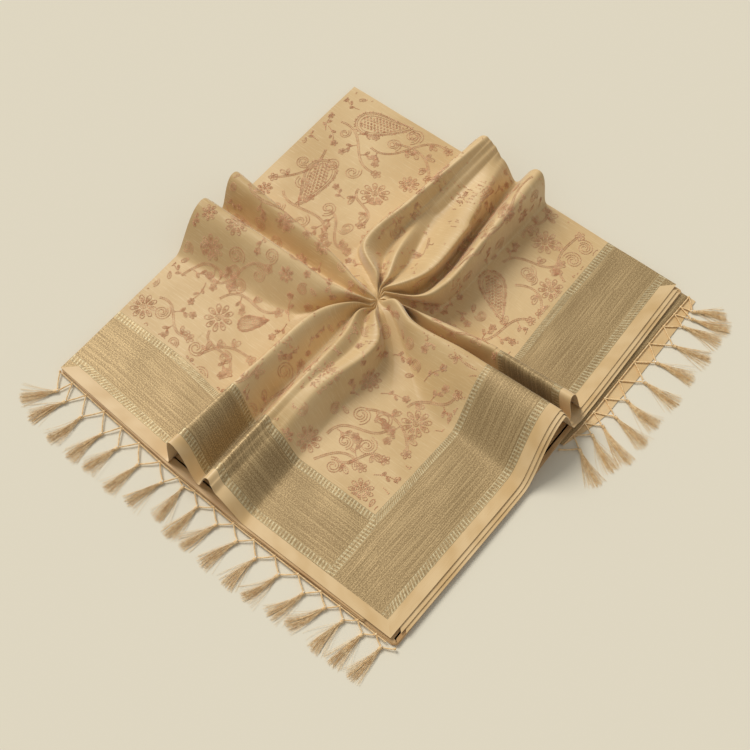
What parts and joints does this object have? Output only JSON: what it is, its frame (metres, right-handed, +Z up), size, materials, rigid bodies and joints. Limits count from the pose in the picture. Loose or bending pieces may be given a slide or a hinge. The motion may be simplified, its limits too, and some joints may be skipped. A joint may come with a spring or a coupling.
{
  "type": "folded silk sari with tassels",
  "caption": "Folded silk sari laid flat: a square packet with woven zari bands, gathered into pleats at the middle, with knotted tassel fringes.",
  "frame": {"origin": "on the flat underside, below the middle of the packet", "axes": "+Z up, +X out to the long zari border, -Y out to the pallu end with the tassels"},
  "size_m": [0.6053, 0.6316, 0.068],
  "materials": {
    "embroidered_silk": "peach-gold silk with a fine crosswise slub, chain-stitch embroidery in dusty rose",
    "zari": "olive-gold zari brocade with a speckled metallic grain",
    "plain_silk": "plain peach silk, satin sheen",
    "folded_silk": "folded edges of the same silk",
    "fringe_thread": "loose and twisted silk thread",
    "embroidery_thread": "matt embroidery thread in dusty rose, with cream",
    "bead": "tiny pearl bead at each knot"
  },
  "bodies": {
    "root": {"silk_field": "embroidered_silk", "pallu_zari_band": "zari", "pallu_end_strip": "plain_silk", "long_border_band": "zari", "border_edge_strip": "plain_silk", "second_border_fold": "plain_silk", "third_border_fold": "plain_silk", "folded_layers": "folded_silk", "inner_end_zari": "zari", "inner_end_plain": "plain_silk", "pallu_fringe": "fringe_thread", "inner_end_fringe": "fringe_thread"}
  },
  "joints": []
}
